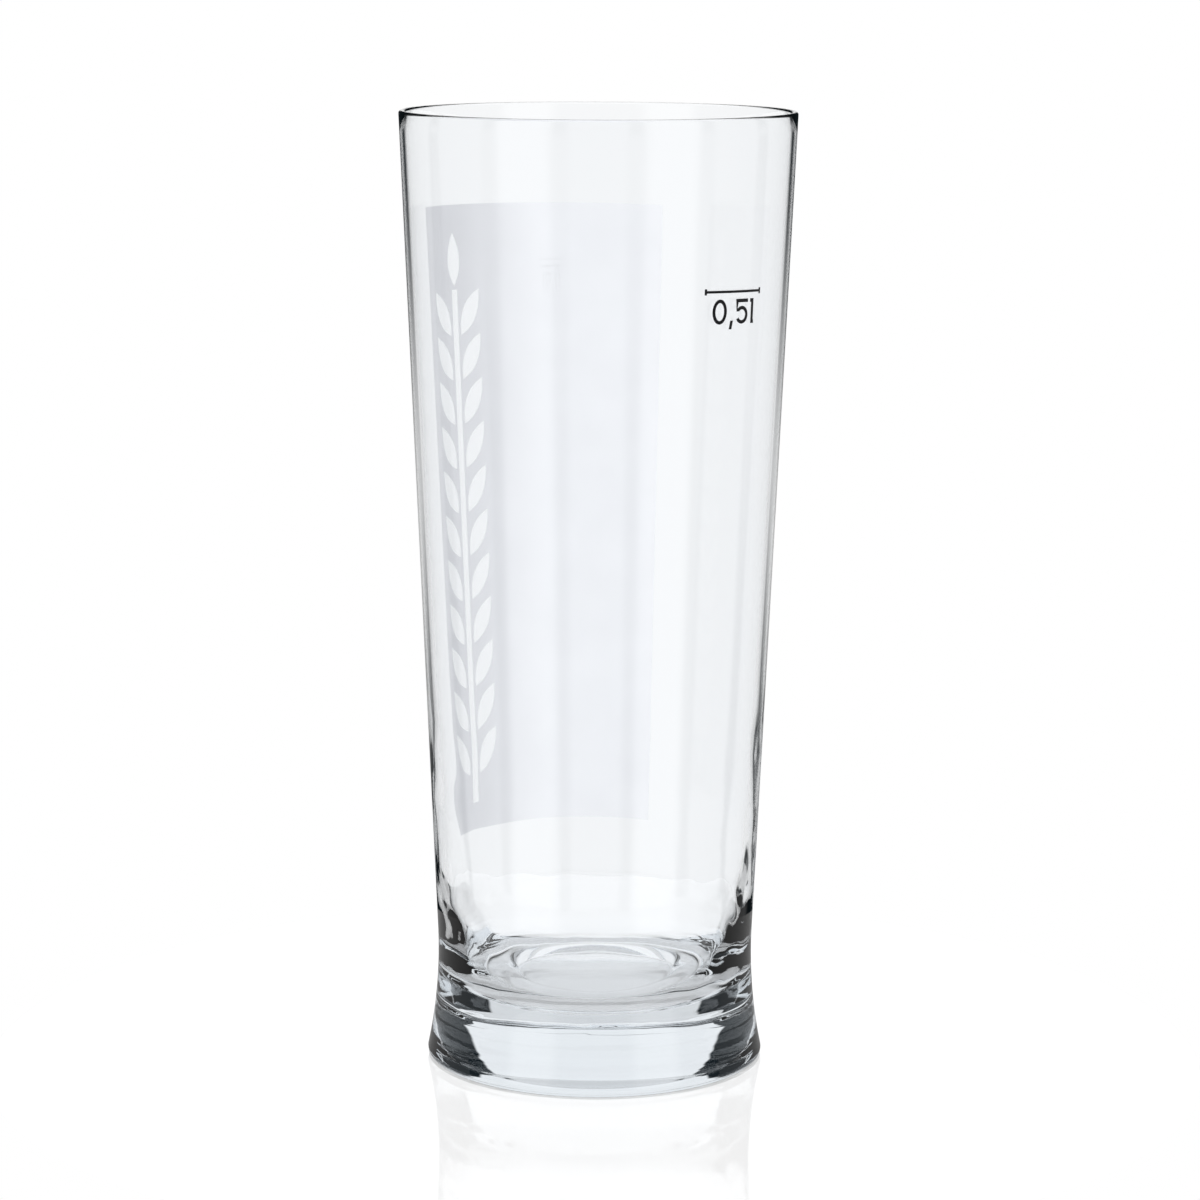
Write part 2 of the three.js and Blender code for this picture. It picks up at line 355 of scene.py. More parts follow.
@dataclass
class GlassBody:
    """The blown glass: foot, waist, tapering wall, round rim and a thick base with a dished floor.

    Sizes are in millimetres. The height and the rim come from the frame. The inside of the base ripples and
    crinkles most at the mould's two seams, and the calm share of that is left half way between them. The
    outside of the foot has faint rings.
    """

    height: float
    rim_radius: float
    waist_radius: float = 32.4
    waist_height: float = 22.8
    waist_blend: float = 2.0
    foot_radius: float = 34.6
    heel_round: float = 1.6
    rim_wall: float = 1.2
    lower_wall: float = 2.2
    bowl_height: float = 26.0
    bowl_drop: float = 14.4
    bowl_reach: float = 6.0
    base_thickness: float = 13.2
    floor_radius: float = 16.8
    floor_dish: float = 0.3
    dish_crown: float = 0.5
    shoulder_width: float = 4.4
    shoulder_height: float = 1.6
    crease: float = 0.6
    punt_radius: float = 26.0
    punt_depth: float = 0.6
    punt_crown: float = 0.75
    ripple_height: float = 0.6
    ripple_length: float = 20.0
    ripple_top: float = 80.0
    crinkle_height: float = 0.3
    crinkle_length: float = 5.0
    calm: float = 0.12
    floor_ripple: float = 0.1
    ring_height: float = 0.03
    ring_pitch: float = 2.0
    ring_length: float = 12.0
    sides: int = 256
    punt_steps: int = 24
    bearing_steps: int = 6
    heel_steps: int = 10
    foot_steps: int = 96
    waist_steps: int = 6
    wall_steps: int = 48
    rim_steps: int = 16
    bowl_steps: int = 40
    shoulder_steps: int = 12
    floor_steps: int = 20
    axis_tolerance: float = 1e-6

    @classmethod
    def from_frame(cls) -> "GlassBody":
        """Reads the height and the rim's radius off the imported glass."""
        low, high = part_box("glass_body")
        return cls(height=(high[2] - low[2]) / MM, rim_radius=(high[0] - low[0]) / 2 / MM)

    @property
    def cone_bottom(self) -> float:
        """Height where the straight wall would meet the waist."""
        return self.waist_height + self.waist_blend

    @property
    def cone_top(self) -> float:
        """Height of the middle of the round rim."""
        return self.height - self.rim_wall / 2

    def wall_radius(self, height: float) -> float:
        """Outer radius of the tapering wall at a height."""
        slope = (self.rim_radius - self.waist_radius) / (self.cone_top - self.cone_bottom)
        return self.waist_radius + slope * (height - self.cone_bottom)

    def outer_profile(self) -> Outline:
        """Draws the half section from the middle of the underside up to the outer edge of the rim.

        Returns:
            Its radii and heights.
        """
        heel = (self.foot_radius - self.heel_round, self.heel_round)
        heel_radii = (self.heel_round, self.heel_round)
        waist = (self.waist_radius, self.waist_height)
        waist_pull = (self.waist_radius, self.cone_bottom)
        blend_top = self.cone_bottom + self.waist_blend
        wall_start = (self.wall_radius(blend_top), blend_top)
        punt_middle = (0.0, self.punt_depth)
        punt_pull = (self.punt_crown * self.punt_radius, self.punt_depth)
        punt_edge = (self.punt_radius, 0.0)
        foot_side = (self.foot_radius, self.heel_round)
        foot_pull = (self.waist_radius, (self.heel_round + self.waist_height) / 2)
        profile = [punt_middle]
        profile += bezier([punt_middle, punt_pull, punt_edge], self.punt_steps)
        profile += line(punt_edge, (heel[0], 0.0), self.bearing_steps)
        profile += ellipse(heel, heel_radii, -QUARTER_TURN, 0.0, self.heel_steps)[1:]
        profile += bezier([foot_side, foot_pull, waist], self.foot_steps)
        profile += bezier([waist, waist_pull, wall_start], self.waist_steps)
        profile += line(wall_start, (self.rim_radius, self.cone_top), self.wall_steps)
        return profile

    def inner_profile(self) -> Outline:
        """Draws the half section from the rim's top down the inside to the middle of the floor.

        Returns:
            Its radii and heights.
        """
        rim_round = self.rim_wall / 2
        rim_middle = (self.rim_radius - rim_round, self.cone_top)
        rim_inside = (self.rim_radius - self.rim_wall, self.cone_top)
        floor_edge = (self.floor_radius, self.base_thickness + self.floor_dish)
        floor_pull = (self.dish_crown * self.floor_radius, self.base_thickness)
        floor_middle = (0.0, self.base_thickness)
        shoulder = (floor_edge[0] + self.shoulder_width, floor_edge[1] + self.shoulder_height)
        shoulder_pull = (self.floor_radius + self.shoulder_width / 2, shoulder[1])
        crease_pull = (self.floor_radius + self.crease, floor_edge[1] + self.crease)
        bowl_top = self.base_thickness + self.bowl_height
        wall_foot = (self.wall_radius(bowl_top) - self.lower_wall, bowl_top)
        slope = (rim_inside[0] - wall_foot[0]) / (self.cone_top - bowl_top)
        wall_pull = (wall_foot[0] - slope * self.bowl_drop, bowl_top - self.bowl_drop)
        bowl_pull = (shoulder[0] + self.bowl_reach, shoulder[1])
        profile = ellipse(rim_middle, (rim_round, rim_round), 0.0, HALF_TURN, self.rim_steps)[1:]
        profile += line(rim_inside, wall_foot, self.wall_steps)
        profile += bezier([wall_foot, wall_pull, bowl_pull, shoulder], self.bowl_steps)
        profile += bezier([shoulder, shoulder_pull, crease_pull, floor_edge], self.shoulder_steps)
        profile += bezier([floor_edge, floor_pull, floor_middle], self.floor_steps)
        return profile

    def uneven(self, spot: Vector) -> Vector:
        """Moves a point of the bowl a little, as the mould leaves the inside of the blown base uneven.

        Args:
            spot: A point of the inner face.

        Returns:
            The moved point: the bowl waves outwards and inwards, its floor up and down.
        """
        radius = Vector((spot.x, spot.y)).length
        seam = (spot.x / max(radius, self.crease)) ** 2
        fade = max(0.0, 1 - (spot.z - self.base_thickness) / (self.ripple_top - self.base_thickness))
        fade *= self.calm + (1 - self.calm) * seam
        ripple = fade * self.ripple_height * noise.noise(spot / self.ripple_length)
        crinkle = fade * self.crinkle_height * noise.noise(spot / self.crinkle_length)
        steep = min(1.0, max(0.0, radius - self.floor_radius - self.shoulder_width) / self.bowl_reach)
        outwards = Vector((spot.x, spot.y, 0.0)) / max(radius, self.crease)
        upwards = Vector((0.0, 0.0, min(1.0, radius / self.floor_radius)))
        sideways = outwards * (ripple + crinkle) * steep
        return spot + sideways + upwards * ripple * self.floor_ripple * (1 - steep)

    def ringed(self, spot: Vector) -> Vector:
        """Moves a point of the foot's outside inwards a little, as the cold mould leaves fine rings round it.

        Args:
            spot: A point of the outer face.

        Returns:
            The moved point. The heel below the rings and the waist above them keep their place.
        """
        if spot.z > self.waist_height or spot.z < self.heel_round:
            return spot
        place = Vector((spot.x / self.ring_length, spot.y / self.ring_length, spot.z / self.ring_pitch))
        share = (spot.z - self.heel_round) / (self.waist_height - self.heel_round)
        depth = self.ring_height * abs(noise.noise(place)) * math.sin(math.pi * share)
        outwards = Vector((spot.x, spot.y, 0.0)).normalized()
        return spot - outwards * depth

    def ring(self, radius: float, height: float) -> list[Vector]:
        """Turns one point of the section round the axis.

        Args:
            radius: Its distance from the axis.
            height: Its height.

        Returns:
            Points from the front onwards, or a single one on the axis.
        """
        count = 1 if radius < self.axis_tolerance else self.sides
        turns = [2 * math.pi * i / self.sides for i in range(count)]
        return [Vector((radius * math.sin(t), -radius * math.cos(t), height)) for t in turns]

    def build(self) -> None:
        """Turns the section round the axis into one closed glass body and dresses it."""
        bm = bmesh.new()
        faces = ((self.outer_profile(), self.ringed), (self.inner_profile(), self.uneven))
        rings = []
        for profile, wave in faces:
            for radius, height in profile:
                spots = [wave(spot) * MM for spot in self.ring(radius, height)]
                rings.append([bm.verts.new(spot) for spot in spots])
        for below, above in zip(rings, rings[1:]):
            for i in range(self.sides):
                j = (i + 1) % self.sides
                low_edge = (below[i % len(below)], below[j % len(below)])
                high_edge = (above[j % len(above)], above[i % len(above)])
                # On the axis both ends of an edge are one corner.
                bm.faces.new(dict.fromkeys(low_edge + high_edge))
        piece = finish_mesh(bm, "clear_glass_body", SodaLimeGlass().material())
        settle(piece, Slot.GLASS, "glass_body")


@dataclass
class WallPrinter:
    """Lays flat outlines on the tapering wall as thin deposits of enamel.

    Sizes are in millimetres and degrees. Angles run from the front towards +X. A print lies a little off
    level about its middle. A flat deposit is one unit thick, half of it on each side.
    """

    glass: GlassBody
    middle: float
    tilt: float
    seat: float = 0.05
    thickness: float = 0.06
    step: float = 1.5
    half_sheet: float = 0.5
    merge_distance: float = 1e-4
    cut_tolerance: float = 1e-5
    sharp_angle: float = 30.0

    def turned(self, outline: Outline, angle: float) -> Outline:
        """Girth lengths as degrees round the axis, at each point's own height."""
        return [(angle + math.degrees(x / self.glass.wall_radius(y)), y) for x, y in outline]

    def lay(self, name: str, outlines: list[Outline], material: bpy.types.Material) -> bpy.types.Object:
        """Makes one deposit from closed outlines in degrees and heights.

        Args:
            name: The piece's name.
            outlines: The outer edge, then any windows.
            material: The enamel.

        Returns:
            The printed piece.
        """
        curve = bpy.data.curves.new(name, "CURVE")
        curve.dimensions = "2D"
        curve.fill_mode = "BOTH"
        curve.extrude = self.half_sheet
        for outline in outlines:
            spline = curve.splines.new("POLY")
            spline.points.add(len(outline) - 1)
            for point, (x, y) in zip(spline.points, outline):
                point.co = (x, y, 0.0, 1.0)
            spline.use_cyclic_u = True
        flat = bpy.data.objects.new(name, curve)
        bm = bmesh.new()
        bm.from_mesh(flat.to_mesh())
        flat.to_mesh_clear()
        bpy.data.objects.remove(flat)
        bpy.data.curves.remove(curve)
        bmesh.ops.remove_doubles(bm, verts=bm.verts[:], dist=self.merge_distance)
        self.split(bm)
        for vert in bm.verts:
            vert.co = self.on_wall(vert.co)
        piece = finish_mesh(bm, name, material)
        piece.data.set_sharp_from_angle(angle=math.radians(self.sharp_angle))
        return piece

    def split(self, bm: bmesh.types.BMesh) -> None:
        """Cuts a flat deposit along the wall's straight lines, so that it bends smoothly round the girth.

        Args:
            bm: The flat deposit.
        """
        left = min(v.co.x for v in bm.verts)
        right = max(v.co.x for v in bm.verts)
        spans = max(1, math.ceil((right - left) / self.step))
        for i in range(1, spans):
            bmesh.ops.bisect_plane(
                bm,
                geom=bm.verts[:] + bm.edges[:] + bm.faces[:],
                plane_co=(left + (right - left) * i / spans, 0.0, 0.0),
                plane_no=(1.0, 0.0, 0.0),
                dist=self.cut_tolerance,
            )

    def on_wall(self, flat: Vector) -> Vector:
        """Finds the place on the wall of a point of a flat deposit.

        Args:
            flat: Degrees, height and share of the thickness.

        Returns:
            The place in metres.
        """
        turn = math.radians(flat.x)
        girth = math.radians(flat.x - self.middle) * self.glass.wall_radius(flat.y)
        height = flat.y + math.tan(math.radians(self.tilt)) * girth
        radius = self.glass.wall_radius(height) + self.seat + self.thickness * (flat.z + self.half_sheet)
        return Vector((radius * math.sin(turn), -radius * math.cos(turn), height)) * MM


@dataclass
class BarleyPanel:
    """The grey panel on the far wall, with a white barley ear printed in windows of it.

    Sizes are in millimetres and degrees.
    """

    glass: GlassBody
    angle: float = 204.6
    span: float = 91.0
    tilt: float = 0.9
    above_waist: float = 15.8
    edge_margin: float = 2.0
    end_margin: float = 6.0
    stalk_width: float = 1.3
    stalk_foot: float = 5.8
    grain_pairs: int = 11
    grain_length: float = 10.5
    grain_width: float = 3.6
    grain_belly: float = 0.45
    grain_tilt: float = 32.0
    grain_web: float = 0.7
    colour_gap: float = 0.3
    curve_steps: int = 14

    def __post_init__(self) -> None:
        """Works out the heights of the panel and of the ear from the grains."""
        glass = self.glass
        self.printer = WallPrinter(glass, self.angle, self.tilt)
        tilt = math.radians(self.grain_tilt)
        self.bottom = glass.cone_bottom + glass.waist_blend + self.above_waist
        self.grain_root = self.stalk_width / 2 + self.grain_web + 2 * self.colour_gap
        self.pitch = (self.grain_width + 2 * self.colour_gap + self.grain_web) / math.sin(tilt)
        half_width = self.grain_root + self.grain_length * math.sin(tilt)
        room = math.degrees((half_width + self.edge_margin) / glass.wall_radius(self.bottom))
        self.ear_angle = self.angle + self.span / 2 - room
        self.ear_bottom = self.bottom + self.end_margin
        self.first_root = self.ear_bottom + self.stalk_foot
        last_root = self.first_root + (self.grain_pairs - 1) * self.pitch
        self.stalk_top = last_root + self.grain_length * math.cos(tilt)
        self.tip_root = self.stalk_top + 2 * self.colour_gap + self.grain_web
        self.top = self.tip_root + self.grain_length + self.end_margin

    def grain(self, root: Point, lean: float, margin: float) -> Outline:
        """Draws a leaf shape, pointed at both ends.

        Args:
            root: Where the grain starts.
            lean: Its angle from upright, in degrees.
            margin: How far the outline is grown, for a window.

        Returns:
            The closed outline.
        """
        length = self.grain_length + 2 * margin
        bulge = self.grain_width + 2 * margin
        along = Vector((math.sin(math.radians(lean)), math.cos(math.radians(lean))))
        across = Vector((along.y, -along.x))
        start = Vector(root) - along * margin
        tip = start + along * length
        middle = start + along * (self.grain_belly * length)
        right = bezier([start, middle + across * bulge, tip], self.curve_steps)
        left = bezier([tip, middle - across * bulge, start], self.curve_steps)
        return right + left

    def stalk(self, margin: float) -> Outline:
        """Draws the straight stalk.

        Args:
            margin: How far the outline is grown, for a window.

        Returns:
            The closed outline.
        """
        half = self.stalk_width / 2 + margin
        low = self.ear_bottom - margin
        high = self.stalk_top + margin
        return [(-half, low), (half, low), (half, high), (-half, high)]

    def ear(self) -> dict[str, Callable[[float], Outline]]:
        """Lists the ear's deposits.

        Returns:
            The outline of each as a function of its margin, by node name.
        """
        deposits = {}
        for pair in range(self.grain_pairs):
            root = self.first_root + pair * self.pitch
            for side, sign in (("left", -1), ("right", 1)):
                place = (sign * self.grain_root, root)
                lean = sign * self.grain_tilt
                deposits[f"barley_grain_{side}_{pair + 1}"] = (
                    lambda margin, place=place, lean=lean: self.grain(place, lean, margin)
                )
        deposits["barley_grain_tip"] = lambda margin: self.grain((0.0, self.tip_root), 0.0, margin)
        deposits["barley_stalk"] = self.stalk
        return deposits

    def build(self) -> None:
        """Prints the panel with its windows and then each deposit of the ear."""
        grey = GREY_ENAMEL.material()
        white = WHITE_ENAMEL.material()
        left = self.angle - self.span / 2
        right = self.angle + self.span / 2
        edge = [(left, self.bottom), (right, self.bottom), (right, self.top), (left, self.top)]
        ear = self.ear()
        windows = [self.printer.turned(shape(self.colour_gap), self.ear_angle) for shape in ear.values()]
        panel = self.printer.lay("grey_print_panel", [edge, *windows], grey)
        settle(panel, Slot.GREY, "print_panel")
        for node, shape in ear.items():
            outline = self.printer.turned(shape(0.0), self.ear_angle)
            settle(self.printer.lay(f"white_{node}", [outline], white), Slot.WHITE, node)


@dataclass
class FillMark:
    """The black fill line with end ticks and the nominal volume below it, on the front wall.

    Sizes are in millimetres and degrees.
    """

    glass: GlassBody
    angle: float = 44.0
    tilt: float = -1.8
    line_below_rim: float = 33.0
    line_length: float = 15.0
    line_width: float = 0.5
    tick_height: float = 1.2
    tick_width: float = 0.5
    digit_height: float = 4.9
    stroke: float = 0.7
    zero_width: float = 3.6
    five_width: float = 3.5
    five_bowl_start: float = -150.0
    five_bowl_end: float = 140.0
    letter_foot: float = 0.85
    comma_drop: float = 1.7
    comma_slant: float = 0.35
    line_to_digits: float = 1.2
    digit_space: float = 0.7
    curve_steps: int = 40

    def __post_init__(self) -> None:
        """Works out the heights of the line and of the digits."""
        self.printer = WallPrinter(self.glass, self.angle, self.tilt)
        self.line_height = self.glass.cone_top - self.line_below_rim
        self.digit_top = self.line_height - self.line_width / 2 - self.line_to_digits
        self.digit_bottom = self.digit_top - self.digit_height

    def fill_line(self) -> list[Outline]:
        """Draws the line and both ticks as one shape.

        Returns:
            Its only outline.
        """
        end = self.line_length / 2
        tick_out = end + self.tick_width / 2
        tick_in = end - self.tick_width / 2
        half = self.line_width / 2
        half_tick = self.tick_height / 2
        right = [(tick_in, -half), (tick_in, -half_tick), (tick_out, -half_tick)]
        right += [(x, -y) for x, y in reversed(right)]
        left = [(-x, -y) for x, y in right]
        return [[(x, self.line_height + y) for x, y in right + left]]

    def zero(self, left: float) -> list[Outline]:
        """Draws an upright oval ring.

        Args:
            left: Where it starts.

        Returns:
            Its outer and inner outline.
        """
        outer = (self.zero_width / 2, self.digit_height / 2)
        inner = (outer[0] - self.stroke, outer[1] - self.stroke)
        centre = (left + outer[0], self.digit_bottom + outer[1])
        return [ellipse(centre, radii, 0.0, FULL_TURN, self.curve_steps)[:-1] for radii in (outer, inner)]

    def comma(self, left: float) -> list[Outline]:
        """Draws a short slanted stroke that starts on the base line.

        Args:
            left: Where it starts.

        Returns:
            Its only outline.
        """
        top = self.digit_bottom + self.stroke
        low = top - self.comma_drop
        slant = left + self.comma_slant
        return [[(left, low), (left + self.stroke, low), (slant + self.stroke, top), (slant, top)]]

    def five(self, left: float) -> list[Outline]:
        """Draws a five as one stroke: top bar, neck and an open bowl.

        Args:
            left: Where it starts.

        Returns:
            Its only outline.
        """
        bowl = self.five_width / 2
        inner = bowl - self.stroke
        centre = (left + bowl, self.digit_bottom + bowl)
        under_bar = self.digit_top - self.stroke
        start = self.five_bowl_start
        end = self.five_bowl_end
        outer_arc = ellipse(centre, (bowl, bowl), start, end, self.curve_steps)
        inner_arc = ellipse(centre, (inner, inner), end, start, self.curve_steps)
        bar = [
            (left + self.stroke, under_bar),
            (left + self.five_width, under_bar),
            (left + self.five_width, self.digit_top),
            (left, self.digit_top),
        ]
        neck = [(inner_arc[0][0] - self.stroke, inner_arc[0][1])]
        return [outer_arc + bar + neck + inner_arc]

    def litre(self, left: float) -> list[Outline]:
        """Draws a slim l with a hook at its top and a foot to the right.

        Args:
            left: Where it starts.

        Returns:
            Its only outline.
        """
        stem = left + self.stroke / 2
        foot = stem + self.letter_foot
        low = self.digit_bottom
        top = self.digit_top
        hook = [(left, top - self.stroke), (stem, top - self.stroke)]
        toe = [(stem, low), (foot, low), (foot, low + self.stroke), (stem + self.stroke, low + self.stroke)]
        return [hook + toe + [(stem + self.stroke, top), (left, top)]]

    def build(self) -> None:
        """Prints the line and sets the four characters side by side below its middle."""
        black = BLACK_ENAMEL.material()
        characters = [
            ("capacity_zero", self.zero, self.zero_width),
            ("capacity_comma", self.comma, self.comma_slant + self.stroke),
            ("capacity_five", self.five, self.five_width),
            ("capacity_litre", self.litre, self.stroke / 2 + self.letter_foot),
        ]
        text_width = sum(width for _, _, width in characters) + (len(characters) - 1) * self.digit_space
        shapes = {"fill_line": self.fill_line()}
        left = -text_width / 2
        for node, draw, width in characters:
            shapes[node] = draw(left)
            left += width + self.digit_space
        for node, outlines in shapes.items():
            turned = [self.printer.turned(outline, self.angle) for outline in outlines]
            settle(self.printer.lay(f"black_{node}", turned, black), Slot.BLACK, node)


@dataclass
class PhotoCamera:
    """The camera in front of the tumbler, a little above its rim and looking down at it. Metres, degrees."""

    distance: float = 0.776
    height: float = 0.2302
    offset: float = 0.00075
    pitch: float = 9.862
    roll: float = 0.26
    lens_mm: float = 115.6
    sensor_mm: float = 36.0

    def build(self) -> None:
        """Sets the camera up and makes it the scene's own."""
        data = bpy.data.cameras.new("photo_camera")
        data.lens = self.lens_mm
        data.sensor_width = self.sensor_mm
        camera = bpy.data.objects.new("photo_camera", data)
        pitch = Matrix.Rotation(math.radians(QUARTER_TURN - self.pitch), 4, "X")
        roll = Matrix.Rotation(math.radians(self.roll), 4, "Z")
        spot = Vector((self.offset, -self.distance, self.height))
        camera.matrix_world = Matrix.Translation(spot) @ pitch @ roll
        bpy.context.scene.collection.objects.link(camera)
        bpy.context.scene.camera = camera
        LOG.info("camera stands %.3f m in front", self.distance)


@dataclass
class WhiteTable:
    """A round table top in white laminate that glows evenly, with a painted shadow beneath the foot. Metres.

    The bearing ring of a glass touches a table in few places. So a hair of air lies between them, and the
    light inside the base is mirrored there.
    """

    foot_radius: float
    radius: float = 0.125
    air_gap: float = 0.00003
    painted_shadow_inset: float = 0.0001
    sides: int = 96
    colour: str = "#a0a0a0"
    glow_level: float = 0.75
    painted_shadow_level: float = 0.47
    painted_reflection_level: float = 0.3
    sheen_share: float = 0.2
    sheen_roughness: float = 0.05
    in_and_out: float = 2.0
    depth_margin: float = 0.5

    def material(self) -> bpy.types.Material:
        """Builds the laminate, and what the glass sees of it.

        Returns:
            The new material.
        """
        # Pressed white laminate with a faint polish: it carries a soft, pale mirror image of the foot. Where
        # the outside of the glass mirrors it, it shows a set dim glow instead: a painted dim reflection. The
        # thick base sees the room in it as in a mirror. Beneath the foot it glows dimmer: a painted shadow.
        material, tree = new_material("white_table_laminate")
        path = add_node(tree, "ShaderNodeLightPath").outputs
        place = add_node(tree, "ShaderNodeTexCoord").outputs["Object"]
        reach = add_node(tree, "ShaderNodeVectorMath", {0: place}, operation="LENGTH").outputs["Value"]
        beside = add_node(tree, "ShaderNodeMath", {0: reach, 1: self.foot_radius}, operation="GREATER_THAN")
        # Painted shadow: the table glows dimmer beneath the foot.
        painted_shadow_radius = self.foot_radius - self.painted_shadow_inset
        painted_shadow_zone = add_node(tree, "ShaderNodeMath", {0: reach, 1: painted_shadow_radius}, operation="LESS_THAN")
        level = add_node(
            tree,
            "ShaderNodeMix",
            {"Factor": painted_shadow_zone, VALUE_A: self.glow_level, VALUE_B: self.painted_shadow_level},
        )
        glow = add_node(tree, "ShaderNodeEmission", {"Color": WHITE, "Strength": level})
        body = add_node(tree, "ShaderNodeBsdfDiffuse", {"Color": linear(self.colour)})
        lit = add_node(tree, "ShaderNodeAddShader", {0: body, 1: glow})
        sheen = add_node(tree, "ShaderNodeBsdfGlossy", {"Roughness": self.sheen_roughness})
        polished = add_node(tree, "ShaderNodeMixShader", {0: self.sheen_share, 1: lit, 2: sheen})
        outside = add_node(
            tree,
            "ShaderNodeMath",
            {0: path["Is Glossy Ray"], 1: path["Transmission Depth"]},
            operation="GREATER_THAN",
        )
        # Painted dim reflection: what the outside of the glass mirrors of the table is a set, low glow.
        dim = add_node(tree, "ShaderNodeEmission", {"Color": WHITE, "Strength": self.painted_reflection_level})
        seen = add_node(tree, "ShaderNodeMixShader", {0: outside, 1: polished, 2: dim})
        through_base = add_node(
            tree,
            "ShaderNodeMath",
            {0: path["Transmission Depth"], 1: self.in_and_out, 2: self.depth_margin},
            operation="COMPARE",
        )
        mirrors = add_node(tree, "ShaderNodeMath", {0: through_base, 1: beside}, operation="MULTIPLY")
        mirror = add_node(tree, "ShaderNodeBsdfGlossy", {"Roughness": 0.0})
        surface = add_node(tree, "ShaderNodeMixShader", {0: mirrors, 1: seen, 2: mirror})
        add_node(tree, "ShaderNodeOutputMaterial", {"Surface": surface})
        return material

    def build(self) -> None:
        """Lays the table top a hair below the foot."""
        bm = bmesh.new()
        bmesh.ops.create_circle(bm, cap_ends=True, segments=self.sides, radius=self.radius)
        bmesh.ops.translate(bm, verts=bm.verts[:], vec=(0.0, 0.0, -self.air_gap))
        top = finish_mesh(bm, "white_table", self.material())
        LOG.info("%s is laid", top.name)


@dataclass
class WhiteRoom:
    """The white room that lights the tumbler. Degrees from straight behind the glass, and upwards.

    The camera sees white all round. Glass sees what stands in the room: white behind, a dark card that leans
    at each side, and low down tall white panels with dark gaps and a pale strip across them. Its outside
    mirrors a soft light on each side of the camera, dim wings, a narrow white back and a bright ceiling.
    """

    level: float = 0.95
    level_from_behind: float = 0.25
    dark: str = "#1d2428"
    panel_spacing: float = 45.0
    panel_half_width: float = 18.0
    strip_level: float = 0.7
    strip_low: float = -11.5
    strip_high: float = -7.5
    back_half_width: float = 6.0
    ceiling: float = 30.0
    wing_level: float = 0.2
    wing_inner: float = 36.0
    wing_outer: float = 75.0
    card_inner: float = 40.0
    card_outer: float = 76.0
    card_lean: float = 0.25
    card_low: float = 3.0
    card_high: float = 60.0
    light_inner: float = 28.0
    light_outer: float = 60.0
    soft_edge: float = 3.0
    card_edge: float = 1.0
    light_edge: float = 6.0

    def __post_init__(self) -> None:
        """Starts an empty world, with the nodes that tell where a ray looks and how it came."""
        self.world = bpy.data.worlds.new("white_room")
        self.world.use_nodes = True
        tree = self.world.node_tree
        tree.nodes.clear()
        direction = add_node(tree, "ShaderNodeTexCoord").outputs["Generated"]
        axes = add_node(tree, "ShaderNodeSeparateXYZ", {0: direction}).outputs
        bearing = add_node(tree, "ShaderNodeMath", {0: axes["X"], 1: axes["Y"]}, operation="ARCTAN2")
        slope = add_node(tree, "ShaderNodeMath", {0: axes["Z"]}, operation="ARCSINE")
        self.tree = tree
        self.path = add_node(tree, "ShaderNodeLightPath").outputs
        self.backwards = axes["Y"]
        self.turn = add_node(tree, "ShaderNodeMath", {0: bearing}, operation="DEGREES")
        self.side = add_node(tree, "ShaderNodeMath", {0: self.turn}, operation="ABSOLUTE")
        self.rise = add_node(tree, "ShaderNodeMath", {0: slope}, operation="DEGREES")

    def band(self, angle: bpy.types.Node, low: float, high: float, soft: float) -> bpy.types.Node:
        """Marks a soft-edged band of directions.

        Args:
            angle: The node with a direction's angle in degrees.
            low: Where the band starts.
            high: Where the band ends.
            soft: Half the width of its edges.

        Returns:
            A node that gives 1 inside the band and 0 outside.
        """
        opens = add_node(
            self.tree,
            "ShaderNodeMapRange",
            {"Value": angle, "From Min": low - soft, "From Max": low + soft},
            interpolation_type="SMOOTHSTEP",
        )
        closes = add_node(
            self.tree,
            "ShaderNodeMapRange",
            {"Value": angle, "From Min": high + soft, "From Max": high - soft},
            interpolation_type="SMOOTHSTEP",
        )
        return add_node(self.tree, "ShaderNodeMath", {0: opens, 1: closes}, operation="MULTIPLY")

    def strip(self) -> bpy.types.Node:
        """Adds the pale strip round the room, a little below level, and gives the node of its brightness."""
        place = self.band(self.rise, self.strip_low, self.strip_high, self.soft_edge)
        return add_node(self.tree, "ShaderNodeMath", {0: place, 1: self.strip_level}, operation="MULTIPLY")

    def panels(self, strip: bpy.types.Node) -> bpy.types.Node:
        """Adds the tall white panels round the room, with dark gaps between them.

        Args:
            strip: The pale strip, which runs across the gaps.

        Returns:
            The node of their brightness.
        """
        spacing = {0: self.turn, 1: self.panel_spacing / 2}
        across = add_node(self.tree, "ShaderNodeMath", spacing, operation="PINGPONG")
        place = self.band(across, -FULL_TURN, self.panel_half_width, self.soft_edge)
        return add_node(self.tree, "ShaderNodeMath", {0: place, 1: strip}, operation="MAXIMUM")

    def carded_field(self, mirrored: bpy.types.Node) -> bpy.types.Node:
        """Adds the white field with a dark, leaning card at each side.

        Args:
            mirrored: Says if a ray was mirrored inside the glass, since only such a ray meets a card.

        Returns:
            The node of the field's brightness.
        """
        tree = self.tree
        leaning = {0: self.rise, 1: self.card_lean, 2: self.side}
        lean = add_node(tree, "ShaderNodeMath", leaning, operation="MULTIPLY_ADD")
        across = self.band(lean, self.card_inner, self.card_outer, self.card_edge)
        upwards = self.band(self.rise, self.card_low, self.card_high, self.card_edge)
        card = add_node(tree, "ShaderNodeMath", {0: across, 1: upwards}, operation="MULTIPLY")
        met = add_node(tree, "ShaderNodeMath", {0: card, 1: mirrored}, operation="MULTIPLY")
        return add_node(tree, "ShaderNodeMath", {0: 1.0, 1: met}, operation="SUBTRACT")

